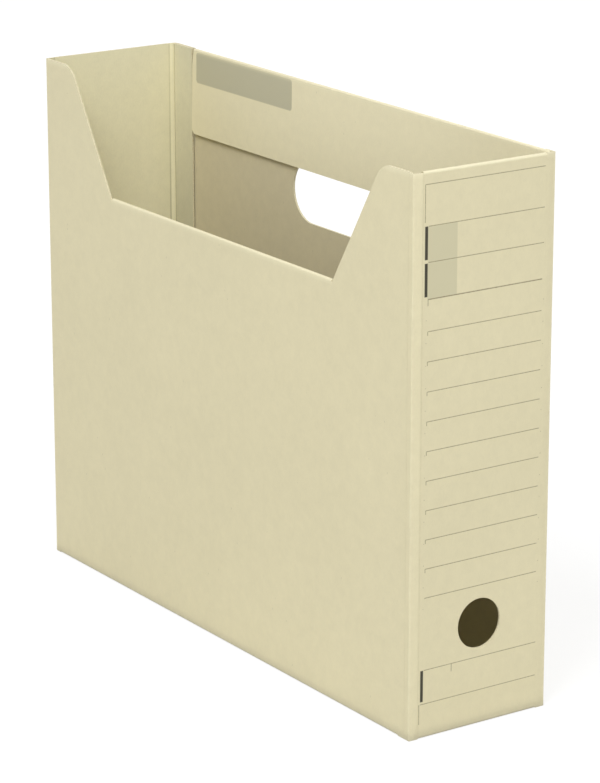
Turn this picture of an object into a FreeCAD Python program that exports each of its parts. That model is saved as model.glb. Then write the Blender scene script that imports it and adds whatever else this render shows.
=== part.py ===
import FreeCAD, Part

import math
import os

os.makedirs("parts", exist_ok=True)

# An open-topped file box for A4 papers laid long side down, folded from one blank of solid board.
# X runs along the box: the spine is at +X and the rear end at -X. The cut-out side is at -Y and
# the side with the hand hole at +Y. The origin is at the middle of the underside.
# Every panel between two creases is a piece of its own, so the box can fold flat about its creases.

# Outer size of the box, in mm
length = 318.0
width = 78.0
height = 265.0

# The board and its folds
board = 1.0
corner_radius = 3.0
fold_gap = 0.2
clearance = 0.3

# The cut-out in the near side, with its folded-in hem
cutout_bottom_height = 204.0
cutout_bottom_length = 193.0
cutout_top_length = 269.0
cutout_corner_radius = 12.0
hem_depth = 15.0
hem_end_gap = 0.6

# The folded-down handle band, the glue flap and the hand hole of the far side
band_depth = 44.6
band_front_gap = 6.0
band_chamfer = 2.0
glue_flap_width = 18.6
glue_flap_top_gap = 1.0
glue_flap_bottom_gap = 8.0
glue_flap_slant = 5.0
slit = 0.4
hand_hole_length = 96.0
hand_hole_height = 32.0
hand_hole_centre_height = 209.3

# The spine, with its finger hole and the lining folded in at its top
finger_hole_diameter = 24.0
finger_hole_centre_height = 49.5
lining_depth = 30.0
lining_side_gap = 4.0

# The bottom flaps, and how far the box folds towards flat
fold_limit_deg = 76.0
middle_gap = 0.6
end_flap_depth = 66.0
opening_corner_gap = 1.5
flap_edge_allowance = 1.0
flap_knee = 4.0


def box_from(x0, x1, y0, y1, z0, z1):
    """A block between two corners."""
    return Part.makeBox(x1 - x0, y1 - y0, z1 - z0, FreeCAD.Vector(x0, y0, z0))


def slab(points, thickness):
    """A flat slab over a closed outline of points, thick in the direction given by a vector."""
    return Part.Face(Part.makePolygon(points + points[:1])).extrude(thickness)


def turned(shape, degrees):
    """A copy turned about the box's upright middle line."""
    copy = shape.copy()
    copy.rotate(FreeCAD.Vector(0, 0, 0), FreeCAD.Vector(0, 0, 1), degrees)
    return copy


def save(shape, name):
    shape.exportStep("parts/" + name + ".step")
    print(name, "volume", round(shape.Volume, 1), "solids", len(shape.Solids), "valid", shape.isValid())


# Two panels meet in the middle of a rounded upright corner, along a seam at 45 degrees
inner_radius = corner_radius - board
diagonal = math.cos(math.radians(45))


def arc_about(centre, radius, start_deg, end_deg):
    """An arc in the XY plane about a centre, from one angle to another."""
    def at(degrees):
        turn = math.radians(degrees)
        return centre + FreeCAD.Vector(radius * math.cos(turn), radius * math.sin(turn), 0)
    return Part.Arc(at(start_deg), at((start_deg + end_deg) / 2), at(end_deg)).toShape()


def upright_panel(span, across):
    """A wall on the -Y side: span long, across from the opposite wall, with half a rounded corner at each end."""
    outside = -across / 2
    right = FreeCAD.Vector(span / 2 - corner_radius, outside + corner_radius, 0)
    left = FreeCAD.Vector(-right.x, right.y, 0)
    outer_right = arc_about(right, corner_radius, -90, -45)
    inner_right = arc_about(right, inner_radius, -90, -45)
    outer_left = arc_about(left, corner_radius, -135, -90)
    inner_left = arc_about(left, inner_radius, -135, -90)

    def line(first, second):
        return Part.makeLine(first, second)

    edges = [
        outer_left,
        line(FreeCAD.Vector(left.x, outside, 0), FreeCAD.Vector(right.x, outside, 0)),
        outer_right,
        line(outer_right.Vertexes[-1].Point, inner_right.Vertexes[-1].Point),
        inner_right,
        line(FreeCAD.Vector(right.x, outside + board, 0), FreeCAD.Vector(left.x, outside + board, 0)),
        inner_left,
        line(inner_left.Vertexes[0].Point, outer_left.Vertexes[0].Point),
    ]
    outline = Part.Wire(Part.__sortEdges__(edges))
    return Part.Face(outline).extrude(FreeCAD.Vector(0, 0, height))


# An edge folded in over a wall: a half-round bend and a strip lying on the wall's inner face
bend_radius = board + fold_gap / 2


def folded_strip(x0, x1, outside, top, depth, chamfer=0.0):
    """The bend and the strip of a fold over a wall on the -Y side, down from its top edge.
    A chamfer takes off the strip's lower corner at x0."""
    centre_y = outside + bend_radius
    centre_z = top - bend_radius
    inner_bend = bend_radius - board
    along = FreeCAD.Vector(1, 0, 0)
    at = FreeCAD.Vector(x0, centre_y, centre_z)
    ring = Part.makeCylinder(bend_radius, x1 - x0, at, along)
    ring = ring.cut(Part.makeCylinder(inner_bend, x1 - x0, at, along))
    upper = box_from(x0, x1, centre_y - bend_radius, centre_y + bend_radius, centre_z, top)
    bend = ring.common(upper)
    low = top - depth
    strip_y = centre_y + inner_bend
    corners = [
        FreeCAD.Vector(x0, strip_y, centre_z),
        FreeCAD.Vector(x1, strip_y, centre_z),
        FreeCAD.Vector(x1, strip_y, low),
        FreeCAD.Vector(x0 + chamfer, strip_y, low),
    ]
    if chamfer > 0:
        corners.append(FreeCAD.Vector(x0, strip_y, low + chamfer))
    strip = slab(corners, FreeCAD.Vector(0, board, 0))
    return bend.fuse(strip).removeSplitter()


def trimmed_under_fold(wall, x0, x1, outside, top):
    """A wall on the -Y side cut down to where the bend of its folded edge starts."""
    return wall.cut(box_from(x0, x1, outside - board, outside + 2 * board, top - bend_radius, top + board))


# The near side, with its cut-out
near_outside = -width / 2
half_bottom = cutout_bottom_length / 2
half_top = cutout_top_length / 2


def cutout_outline(y):
    """The cut-out's outline: a straight bottom, two slopes, and a rounded corner at the top of each."""
    rise = height - cutout_bottom_height
    run = half_top - half_bottom
    slope = math.hypot(run, rise)
    turn = math.atan2(rise, run)
    reach = cutout_corner_radius * math.tan(turn / 2)
    start = FreeCAD.Vector(half_top - reach * run / slope, y, height - reach * rise / slope)
    end = FreeCAD.Vector(half_top + reach, y, height)
    centre = FreeCAD.Vector(end.x, y, height - cutout_corner_radius)
    half_turn = math.pi / 2 + turn / 2
    middle = centre + FreeCAD.Vector(math.cos(half_turn), 0, math.sin(half_turn)) * cutout_corner_radius
    above = height + board
    right = [FreeCAD.Vector(half_bottom, y, cutout_bottom_height), start, middle, end]
    left = [FreeCAD.Vector(-p.x, y, p.z) for p in right]
    return Part.Wire([
        Part.makeLine(left[0], right[0]),
        Part.makeLine(right[0], right[1]),
        Part.Arc(right[1], right[2], right[3]).toShape(),
        Part.makeLine(right[3], FreeCAD.Vector(end.x, y, above)),
        Part.makeLine(FreeCAD.Vector(end.x, y, above), FreeCAD.Vector(-end.x, y, above)),
        Part.makeLine(FreeCAD.Vector(-end.x, y, above), left[3]),
        Part.Arc(left[3], left[2], left[1]).toShape(),
        Part.makeLine(left[1], left[0]),
    ])


def near_side_panel():
    wall = upright_panel(length, width)
    opening = Part.Face(cutout_outline(near_outside - board)).extrude(FreeCAD.Vector(0, 3 * board, 0))
    wall = wall.cut(opening)
    return trimmed_under_fold(wall, -half_bottom, half_bottom, near_outside, cutout_bottom_height)


def cutout_hem():
    x1 = half_bottom - hem_end_gap
    return folded_strip(-x1, x1, near_outside, cutout_bottom_height, hem_depth)


# The spine is built as a wall on the -Y side and turned to +X
spine_outside = -length / 2
lining_half = width / 2 - board - lining_side_gap


def spine_panel():
    wall = upright_panel(width, length)
    hole = Part.makeCylinder(
        finger_hole_diameter / 2, 3 * board,
        FreeCAD.Vector(0, spine_outside - board, finger_hole_centre_height), FreeCAD.Vector(0, 1, 0))
    wall = wall.cut(hole)
    return turned(trimmed_under_fold(wall, -lining_half, lining_half, spine_outside, height), 90)


def spine_lining():
    strip = folded_strip(-lining_half, lining_half, spine_outside, height, lining_depth)
    return turned(strip, 90)


# The far side is built as a wall on the -Y side and turned half round, so its rear end is at +X while it is built
band_rear = length / 2 - board - glue_flap_width
band_front = -length / 2 + board + band_front_gap


def far_side_panel():
    wall = upright_panel(length, width)
    radius = hand_hole_height / 2
    reach = hand_hole_length / 2 - radius
    depth = FreeCAD.Vector(0, 1, 0)
    hole = box_from(
        -reach, reach, near_outside - board, near_outside + 2 * board,
        hand_hole_centre_height - radius, hand_hole_centre_height + radius)
    for side in (-1, 1):
        at = FreeCAD.Vector(side * reach, near_outside - board, hand_hole_centre_height)
        hole = hole.fuse(Part.makeCylinder(radius, 3 * board, at, depth))
    wall = wall.cut(hole.removeSplitter())
    return turned(trimmed_under_fold(wall, band_front, band_rear, near_outside, height), 180)


def handle_band():
    # the chamfered corner is at the rear, so the strip is built mirrored
    strip = folded_strip(-band_rear, -band_front, near_outside, height, band_depth, band_chamfer)
    strip = strip.mirror(FreeCAD.Vector(0, 0, 0), FreeCAD.Vector(1, 0, 0))
    return turned(strip, 180)


def glue_flap():
    """The strip that continues from the rear end and is glued to the far side's inner face."""
    x1 = length / 2 - corner_radius
    x0 = band_rear + slit
    y = near_outside + board
    low = glue_flap_bottom_gap
    high = height - glue_flap_top_gap
    corners = [
        FreeCAD.Vector(x1, y, low),
        FreeCAD.Vector(x1, y, high),
        FreeCAD.Vector(x0, y, high),
        FreeCAD.Vector(x0, y, low + glue_flap_slant),
    ]
    return turned(slab(corners, FreeCAD.Vector(0, board, 0)), 180)


# The rear end is the spine's opposite, a plain wall
def rear_end_panel():
    return turned(upright_panel(width, length), -90)


# The bottom: two long flaps lie on the floor, two end flaps lie on them.
# As the box folds, each flap stands up against its wall, and reaches it when the fold ends.
flap_ratio = 90.0 / fold_limit_deg
seam_inset = inner_radius * (1 - diagonal)
long_flap_depth = (width - middle_gap) / 2 - board - clearance


def fold_steps():
    """The walls' fold angle and the flaps' own angle, in steps up to the limit."""
    for step in range(1, 81):
        fold = math.radians(fold_limit_deg * step / 80)
        yield fold, fold * flap_ratio


def room_under(depth):
    """How far from a closing corner a long flap's edge stays at a depth, to lie under the end flap
    all the way. Its upper and lower edges are both tried."""
    needed = []
    for fold, lift in fold_steps():
        for below in (0, board):
            under = (board - (board + clearance) * math.cos(lift) - below * math.cos(lift) ** 2) / math.sin(lift)
            from_spine = 2 * clearance + under + depth * math.cos(lift)
            from_side = clearance + depth * math.cos(lift) + below * math.sin(lift)
            across = from_spine - seam_inset + (from_side - seam_inset) * math.sin(fold)
            needed.append(seam_inset + across / math.cos(fold))
    return max(needed)


def room_inside(depth, lining):
    """How far from a closing corner an end flap's edge stays at a depth, to clear the closing wall
    and the lining on it."""
    needed = []
    for fold, lift in fold_steps():
        reach = clearance + depth * math.cos(lift) + board * math.sin(lift)
        across = lining + clearance - seam_inset + (reach - seam_inset) * math.sin(fold)
        needed.append(seam_inset + across / math.cos(fold))
    return max(needed)


def long_flap():
    """The near side's bottom flap. The far side's is the same, turned half round."""
    hinge = -width / 2 + board + clearance
    closing = length / 2 - board
    opening = -length / 2 + board + opening_corner_gap
    tip = hinge + long_flap_depth
    corners = [
        FreeCAD.Vector(closing - room_under(depth), hinge + depth, 0)
        for depth in (0, flap_knee, long_flap_depth)]
    corners.append(FreeCAD.Vector(opening + long_flap_depth + flap_edge_allowance, tip, 0))
    corners.append(FreeCAD.Vector(opening, hinge, 0))
    return slab(corners, FreeCAD.Vector(0, 0, board))


def end_flap(lining):
    """The spine's bottom flap. The rear end's is turned half round, and clears the glue flap too."""
    hinge = length / 2 - board - clearance
    closing = -width / 2 + board
    opening = width / 2 - board - opening_corner_gap
    z = board + clearance
    corners = [
        FreeCAD.Vector(hinge - depth, closing + room_inside(depth, lining), z)
        for depth in (0, flap_knee, end_flap_depth)]
    corners.append(FreeCAD.Vector(hinge - end_flap_depth, opening, z))
    corners.append(FreeCAD.Vector(hinge, opening, z))
    return slab(corners, FreeCAD.Vector(0, 0, board))


save(near_side_panel(), "near_side_panel")
save(cutout_hem(), "cutout_hem")
save(spine_panel(), "spine_panel")
save(spine_lining(), "spine_lining")
save(far_side_panel(), "far_side_panel")
save(handle_band(), "handle_band")
save(glue_flap(), "glue_flap")
save(rear_end_panel(), "rear_end_panel")
save(long_flap(), "near_bottom_flap")
save(turned(long_flap(), 180), "far_bottom_flap")
save(end_flap(0), "front_bottom_flap")
save(turned(end_flap(board), 180), "rear_bottom_flap")

# The creases that the box folds about. A corner that closes turns about the seam's inner edge,
# one that opens about its outer edge, so the four walls stay a parallelogram.
closing_inset = corner_radius - inner_radius * diagonal
opening_inset = corner_radius - corner_radius * diagonal
print("spine crease", length / 2 - closing_inset, -width / 2 + closing_inset)
print("far side crease", length / 2 - opening_inset, width / 2 - opening_inset)
print("rear end crease", -length / 2 + opening_inset, -width / 2 + opening_inset)
print("glued crease", -length / 2 + closing_inset, width / 2 - closing_inset)
print("long flap crease", -width / 2 + board + clearance, board)
print("end flap crease", length / 2 - board - clearance, 2 * board + clearance)
print("flap ratio", flap_ratio)
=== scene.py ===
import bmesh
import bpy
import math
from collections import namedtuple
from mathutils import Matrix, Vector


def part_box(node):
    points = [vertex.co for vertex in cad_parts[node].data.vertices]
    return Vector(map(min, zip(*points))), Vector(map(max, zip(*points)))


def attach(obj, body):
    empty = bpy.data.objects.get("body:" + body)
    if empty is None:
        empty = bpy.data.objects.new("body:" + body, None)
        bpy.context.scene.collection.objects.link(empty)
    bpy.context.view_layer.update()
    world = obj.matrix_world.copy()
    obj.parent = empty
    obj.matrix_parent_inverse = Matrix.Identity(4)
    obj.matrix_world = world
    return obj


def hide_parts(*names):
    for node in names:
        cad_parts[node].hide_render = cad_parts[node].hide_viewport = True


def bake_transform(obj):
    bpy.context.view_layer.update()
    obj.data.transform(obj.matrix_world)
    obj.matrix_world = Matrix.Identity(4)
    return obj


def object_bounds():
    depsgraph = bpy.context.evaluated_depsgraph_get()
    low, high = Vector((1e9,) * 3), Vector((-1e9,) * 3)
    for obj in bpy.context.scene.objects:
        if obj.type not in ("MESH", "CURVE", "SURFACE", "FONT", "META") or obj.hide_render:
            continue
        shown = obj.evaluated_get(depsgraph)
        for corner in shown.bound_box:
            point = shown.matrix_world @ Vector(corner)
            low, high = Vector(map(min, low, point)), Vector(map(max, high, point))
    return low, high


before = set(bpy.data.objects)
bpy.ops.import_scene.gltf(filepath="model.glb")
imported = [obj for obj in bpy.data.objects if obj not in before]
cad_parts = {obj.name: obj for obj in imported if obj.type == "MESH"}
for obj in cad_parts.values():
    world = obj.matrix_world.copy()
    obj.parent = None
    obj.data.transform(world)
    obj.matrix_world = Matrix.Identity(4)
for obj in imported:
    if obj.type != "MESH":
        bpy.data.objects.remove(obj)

# %% [markdown]
# # A folded board file box, in Blender
# The real object is an open-topped box for papers, cut and folded from one sheet of solid board.
# It is long, narrow and tall, with a printed spine at one end, a deep cut-out in the near side and
# a hand hole in the far side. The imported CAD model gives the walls' sizes, so the first cell only
# reads it. Each wall is then modelled again as a sheet of board with rounded folds and cut edges.

cad_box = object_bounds()
mm = 0.001
low_corner, high_corner = cad_box
length, width, height = high_corner - low_corner
flap_low, flap_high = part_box("near_bottom_flap")
board = flap_high.z - flap_low.z
print("box", length / mm, width / mm, height / mm, "mm, board", board / mm, "mm")

# %% [markdown]
# ## What the folds measure
# A fold in board is never sharp: its outside is an arc. The edges folded in at the top are half
# rounds as thick as two boards, and the foot of each wall is a quarter round. The walls' flat parts
# end a little before the upright corners. These places are worked out from the boxes of the CAD
# parts, so that the sheets meet the CAD model everywhere.

# %% Radii and heights taken from the CAD parts
diagonal = math.cos(math.radians(45))
near_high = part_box("near_side_panel")[1]
corner_radius = (length / 2 - near_high.x) / (1 - diagonal)
hem_low, hem_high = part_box("cutout_hem")
bend_radius = (hem_high.y - hem_low.y) / 2
band_low, band_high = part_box("handle_band")
lining_low, lining_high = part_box("spine_lining")
foot_reach = width / 2 - abs(flap_low.y)
foot_radius = 1.05 * board
tail = 1 * mm
print("corner radius", corner_radius / mm, "bend radius", bend_radius / mm, "foot reach", foot_reach / mm)

# %% [markdown]
# ## The camera
# The photograph looks down a little on the near side and the spine from far away with a long lens.
# A camera is aimed at a point just below the middle of the box, from the angles and the distance
# worked out from the photograph, so the box fills the frame as it does there.

# %% A camera at the photograph's angle
camera_azimuth = math.radians(55.74)
camera_elevation = math.radians(16.66)
camera_distance = 1.609
aim = Vector((0.022 * length, 0.058 * width, 0.459 * height))
towards_camera = Vector((
    math.sin(camera_azimuth) * math.cos(camera_elevation),
    -math.cos(camera_azimuth) * math.cos(camera_elevation),
    math.sin(camera_elevation)))
bpy.ops.object.select_all(action="DESELECT")
bpy.ops.object.camera_add(location=aim + towards_camera * camera_distance)
camera = bpy.context.object
camera.name = "photo_camera"
camera.rotation_euler = (-towards_camera).to_track_quat("-Z", "Y").to_euler()
camera.data.sensor_width = 36
camera.data.lens = 151.4
camera.data.clip_start = 0.05
camera.data.clip_end = 50
bpy.context.scene.camera = camera
print("camera at", [round(v, 4) for v in camera.location])

# %% [markdown]
# ## Helpers for node trees
# The world, the floor and every finish are trees of nodes. A few short functions keep the trees
# easy to read: one adds a node and feeds it, one does arithmetic, one mixes two shaders, and one
# turns a colour as seen on screen into the linear values that Blender works with. A socket knows
# the tree it is in, so the functions put their nodes where the sockets they are given are.

# %% Short functions for nodes
white = (1, 1, 1, 1)


def screen_colour(red, green, blue):
    """A colour given as screen values from 0 to 255, as linear values."""
    def linear(value):
        part = value / 255
        return part / 12.92 if part <= 0.04045 else ((part + 0.055) / 1.055) ** 2.4
    return (linear(red), linear(green), linear(blue), 1)


def feed(node, name, value):
    """Sets a socket, or links another node's output to it."""
    socket = node.inputs[name]
    if isinstance(value, bpy.types.NodeSocket):
        node.id_data.links.new(value, socket)
    else:
        socket.default_value = value


def add_node(tree, kind, sockets=(), **settings):
    """A new node with its settings, and with values or links for its sockets."""
    node = tree.nodes.new("ShaderNode" + kind)
    for name, value in settings.items():
        setattr(node, name, value)
    for name, value in dict(sockets).items():
        feed(node, name, value)
    return node


def tree_of(values):
    """The node tree of the first socket among some values."""
    return next(value.id_data for value in values if isinstance(value, bpy.types.NodeSocket))


def maths(operation, *values):
    """Arithmetic on sockets and numbers."""
    return add_node(tree_of(values), "Math", enumerate(values), operation=operation).outputs[0]


def axes(position):
    """The X, Y and Z of a position, as sockets."""
    return add_node(position.id_data, "SeparateXYZ", dict(Vector=position)).outputs


def mixed(share, first, second):
    """A colour between two, by a share from 0 to 1."""
    values = dict(Factor=share, A=first, B=second)
    return add_node(share.id_data, "Mix", values, data_type="RGBA").outputs["Result"]


def recoloured(colour, value):
    """A colour made brighter or darker by a factor."""
    return add_node(colour.id_data, "HueSaturation", dict(Color=colour, Value=value)).outputs["Color"]


def shader_of(tree, kind, **values):
    """A plain shader with its sockets set."""
    return add_node(tree, kind, values).outputs[0]


def either(share, first, second):
    """The first shader at a share of 0, the second at 1."""
    return add_node(share.id_data, "MixShader", enumerate((share, first, second))).outputs[0]


def spread(value, from_low, from_high, to_low, to_high, steps="SMOOTHSTEP"):
    """A value moved from one range to another, clamped at both ends."""
    names = ("Value", "From Min", "From Max", "To Min", "To Max")
    ranges = zip(names, (value, from_low, from_high, to_low, to_high))
    return add_node(value.id_data, "MapRange", ranges, interpolation_type=steps).outputs["Result"]


def noise(position, scale, detail=2.0, roughness=0.5):
    values = dict(Vector=position, Scale=scale, Detail=detail, Roughness=roughness)
    return add_node(position.id_data, "TexNoise", values).outputs["Fac"]


def seen_directly(tree):
    """One for a ray from the camera, from a gloss or through glass, zero for the light itself."""
    rays = add_node(tree, "LightPath").outputs
    seen = maths("MAXIMUM", rays["Is Camera Ray"], rays["Is Glossy Ray"])
    return maths("MAXIMUM", seen, rays["Is Transmission Ray"])


# %% [markdown]
# ## The light
# The photograph has a plain white ground and light from all sides, like a light tent. The world
# is an even white dome. One large soft lamp hangs above the near side and a second one above the
# spine, so the two faces that show are lit almost alike, the folded top edges shine a little, and
# the inside of the box falls into soft shade. A third lamp lights the back.

# %% An even white dome and three large soft lamps
scene = bpy.context.scene
scene.view_settings.view_transform = "Standard"
world = bpy.data.worlds.new("light_tent")
scene.world = world
world.use_nodes = True
sky = world.node_tree
sky.nodes.clear()
dome_strength = 0.4
dome = shader_of(sky, "Background", Color=(1.0, 0.995, 0.985, 1), Strength=dome_strength)
white_ground = shader_of(sky, "Background", Color=white)
sky_out = add_node(sky, "OutputWorld")
feed(sky_out, "Surface", either(seen_directly(sky), dome, white_ground))


def soft_lamp(name, place, power, size=1.0):
    """A square area lamp that looks at the middle of the box."""
    bpy.ops.object.select_all(action="DESELECT")
    bpy.ops.object.light_add(type="AREA", location=place)
    lamp = bpy.context.object
    lamp.name = name
    lamp.data.size = size
    lamp.data.energy = power
    to_box = Vector((0, 0, height / 2)) - Vector(place)
    lamp.rotation_euler = to_box.to_track_quat("-Z", "Y").to_euler()
    print(name, power, "W, from", round(to_box.length, 2), "m away")


soft_lamp("side_lamp", (0.6, -1.2, 2.0), 29.6)
soft_lamp("spine_lamp", (1.3, -0.2, 1.5), 12.0)
soft_lamp("back_lamp", (-1.5, 1.5, 1.2), 12.0)

# %% [markdown]
# ## The floor
# The box stands on a plain white table. The floor is a large level sheet just under it. It is seen
# as white, but near the box it still takes the soft shadow that the box throws. The plain white
# grows with the distance from the box. From below the floor is clear, so that the underside shows,
# and light may pass the floor within a few millimetres of the box, so that the underside is lit.

# %% A pale floor that keeps the shadow
floor_gap = 0.2 * mm
clear_within = 6 * mm
bpy.ops.object.select_all(action="DESELECT")
bpy.ops.mesh.primitive_plane_add(size=14, location=(0, 0, -floor_gap))
floor = bpy.context.object
floor.name = "pale_floor"
floor_material = bpy.data.materials.new("pale_floor")
floor_material.use_nodes = True
table = floor_material.node_tree
table.nodes.clear()
lit_floor = shader_of(table, "BsdfDiffuse", Color=(0.82, 0.815, 0.8, 1))
shaded_white = shader_of(table, "BsdfDiffuse", Color=white)
plain_white = shader_of(table, "Emission", Color=white, Strength=1.05)
clear = shader_of(table, "BsdfTransparent")
floor_place = add_node(table, "TexCoord").outputs["Object"]
from_box = add_node(table, "VectorMath", {0: floor_place}, operation="LENGTH")
white_share = spread(from_box.outputs["Value"], 0.5 * length, 1.4 * length, 0.7, 1.0, "LINEAR")
seen_floor = either(white_share, shaded_white, plain_white)
from_above = either(seen_directly(table), lit_floor, seen_floor)
from_below = add_node(table, "NewGeometry").outputs["Backfacing"]
ray_length = add_node(table, "LightPath").outputs["Ray Length"]
very_close = maths("LESS_THAN", ray_length, clear_within)
clear_share = maths("MAXIMUM", from_below, very_close)
floor_out = add_node(table, "OutputMaterial")
feed(floor_out, "Surface", either(clear_share, from_above, clear))
floor.data.materials.append(floor_material)
print("floor", floor_gap / mm, "mm under the box")

# %% [markdown]
# ## Board fibre
# Solid board is pressed from pulp. Close up it has short fibres that lie mostly one way, specks
# of darker pulp, and slow changes of tone where the pulp was thicker. Three noises at three sizes
# and a scatter of small cells make these. The two finer noises also give the relief, so a fibre
# that is lighter stands up. What several finishes share is a group of nodes with named sockets.

# %% The group that makes board fibre


def new_group(name, inputs, outputs):
    """A shader node group with named sockets. Gives the tree, its input node and its output node."""
    tree = bpy.data.node_groups.new(name, "ShaderNodeTree")
    for socket, kind in inputs:
        tree.interface.new_socket(socket, in_out="INPUT", socket_type="NodeSocket" + kind)
    for socket, kind in outputs:
        tree.interface.new_socket(socket, in_out="OUTPUT", socket_type="NodeSocket" + kind)
    return tree, tree.nodes.new("NodeGroupInput"), tree.nodes.new("NodeGroupOutput")


def place_group(group, **values):
    """Puts a group in its values' tree. An underscore in a value's name stands for a space."""
    sockets = {name.replace("_", " "): value for name, value in values.items()}
    return add_node(tree_of(values.values()), "Group", node_tree=group, sockets=sockets)


fibre_group, fibre_in, fibre_out = new_group(
    "board_fibre",
    (("Position", "Vector"), ("Board Colour", "Color"), ("Mottle", "Float"), ("Speck Share", "Float")),
    (("Colour", "Color"), ("Roughness", "Float"), ("Relief", "Float")))
fibre_place, fibre_colour = fibre_in.outputs["Position"], fibre_in.outputs["Board Colour"]
grain_node = add_node(fibre_group, "Mapping", dict(Vector=fibre_place, Scale=(1.0, 1.0, 0.45)))
along_grain = grain_node.outputs["Vector"]
fibres = noise(along_grain, 1500.0, 3.0, 0.6)
cloud = noise(fibre_place, 190.0, 4.0, 0.6)
slow_tone = noise(fibre_place, 14.0, 2.0, 0.5)
tone = 0.0
for source, reach in ((fibres, 0.5), (cloud, 0.55), (slow_tone, 0.4)):
    tone = maths("ADD", tone, spread(source, 0.3, 0.7, -reach, reach, "LINEAR"))
tone = maths("MULTIPLY", tone, fibre_in.outputs["Mottle"])
toned = recoloured(fibre_colour, maths("ADD", tone, 1.0))

specks = add_node(fibre_group, "TexVoronoi", dict(Vector=along_grain, Scale=420.0), feature="F1")
speck_pick = add_node(fibre_group, "SeparateColor", dict(Color=specks.outputs["Color"]))
chosen = maths("LESS_THAN", speck_pick.outputs[0], fibre_in.outputs["Speck Share"])
speck_mask = spread(specks.outputs["Distance"], 0.05, 0.14, 0.5, 0.0)
speck_mask = maths("MULTIPLY", speck_mask, chosen)
speckled = mixed(speck_mask, toned, recoloured(fibre_colour, 0.62))
relief = maths("MULTIPLY_ADD", cloud, 0.45, maths("MULTIPLY", fibres, 0.55))
feed(fibre_out, "Colour", speckled)
feed(fibre_out, "Relief", relief)
feed(fibre_out, "Roughness", spread(fibres, 0.3, 0.7, 0.56, 0.74, "LINEAR"))
print(fibre_group.name, "has", len(fibre_group.nodes), "nodes")

# %% [markdown]
# ## Worn edges
# Where a box is handled and stood down, its outer edges lose their skin and turn paler. A point is
# near an edge of the box when it is close to two of the box's faces at once, so the middle one of
# its three distances to the faces says how near. A noise breaks the worn line up.

# %% The group that finds worn edges
wear_group, wear_in, wear_out = new_group(
    "worn_edges",
    (("Position", "Vector"), ("Reach", "Float"), ("Strength", "Float")),
    (("Wear", "Float"),))
wear_place = axes(wear_in.outputs["Position"])
from_end = maths("SUBTRACT", length / 2, maths("ABSOLUTE", wear_place["X"]))
from_side = maths("SUBTRACT", width / 2, maths("ABSOLUTE", wear_place["Y"]))
from_top = maths("SUBTRACT", height, wear_place["Z"])
from_level = maths("MINIMUM", from_top, wear_place["Z"])
nearer = maths("MINIMUM", from_end, from_side)
further = maths("MAXIMUM", from_end, from_side)
middle_one = maths("MAXIMUM", nearer, maths("MINIMUM", further, from_level))
broken = noise(wear_in.outputs["Position"], 260.0, 4.0, 0.65)
edge_reach = maths("MULTIPLY", wear_in.outputs["Reach"],
                    spread(broken, 0.35, 0.65, 0.35, 1.4, "LINEAR"))
near_edge = spread(middle_one, 0.0, edge_reach, 1.0, 0.0)
feed(wear_out, "Wear", maths("MULTIPLY", near_edge, wear_in.outputs["Strength"]))
print(wear_group.name, "has", len(wear_group.nodes), "nodes")

# %% [markdown]
# ## Painted highlights on the folds
# The crests of the folded edges are painted paler, as a painted highlight where light from above
# catches them. The folds lie along the top edge and along the straight bottom of the cut-out. The
# group tells how near a point is to one of these crests, and fades out a few millimetres below it.

# %% The group that finds the fold crests for the painted highlight
crest_highlight_group, crest_highlight_in, crest_highlight_out = new_group("painted_fold_highlights", (("Position", "Vector"),), (("Highlight", "Float"),))
fold_place = axes(crest_highlight_in.outputs["Position"])


def below_crest(level):
    """One at a crest of this height, falling to zero a few millimetres below it."""
    return spread(fold_place["Z"], level - 3.2 * mm, level - 0.8 * mm, 0.0, 1.0)


beside_middle = maths("ABSOLUTE", fold_place["X"])
hem_highlight = below_crest(hem_high.z)
for distance, limit in ((beside_middle, hem_high.x + 1 * mm), (fold_place["Y"], 0.0),
                        (fold_place["Z"], hem_high.z + 0.5 * mm)):
    under = maths("LESS_THAN", distance, limit)
    hem_highlight = maths("MULTIPLY", hem_highlight, under)
feed(crest_highlight_out, "Highlight", maths("MAXIMUM", below_crest(height), hem_highlight))
print(crest_highlight_group.name, "has", len(crest_highlight_group.nodes), "nodes")

# %% [markdown]
# ## Printed shapes
# The form on the spine is printed in thin ink: ruled lines, bars and tinted blocks. Each of them is
# a rectangle, sharp or a little rounded. One group measures how far a point lies outside such a
# rectangle and turns that into a mask with a soft border, so every mark is one small node.

# %% The group that masks one printed shape
mark_group, mark_in, mark_out = new_group(
    "printed_shape",
    (("Across", "Float"), ("Up", "Float"), ("Middle Across", "Float"), ("Middle Up", "Float"),
     ("Half Width", "Float"), ("Half Height", "Float"), ("Rounding", "Float"), ("Softness", "Float")),
    (("Mask", "Float"),))


def beyond(coordinate, middle, half):
    """How far a point lies past a rectangle's side, less its rounding."""
    off = maths("SUBTRACT", mark_in.outputs[coordinate], mark_in.outputs[middle])
    past = maths("SUBTRACT", maths("ABSOLUTE", off), mark_in.outputs[half])
    return maths("ADD", past, mark_in.outputs["Rounding"])


past_side = beyond("Across", "Middle Across", "Half Width")
past_top = beyond("Up", "Middle Up", "Half Height")
side_square = maths("POWER", maths("MAXIMUM", past_side, 0.0), 2.0)
top_square = maths("POWER", maths("MAXIMUM", past_top, 0.0), 2.0)
outside_part = maths("SQRT", maths("ADD", side_square, top_square))
inside_part = maths("MINIMUM", maths("MAXIMUM", past_side, past_top), 0.0)
distance = maths("ADD", outside_part, inside_part)
distance = maths("SUBTRACT", distance, mark_in.outputs["Rounding"])
distance = maths("DIVIDE", distance, mark_in.outputs["Softness"])
feed(mark_out, "Mask", spread(distance, -0.5, 0.5, 1.0, 0.0))
print(mark_group.name, "has", len(mark_group.nodes), "nodes")
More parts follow.
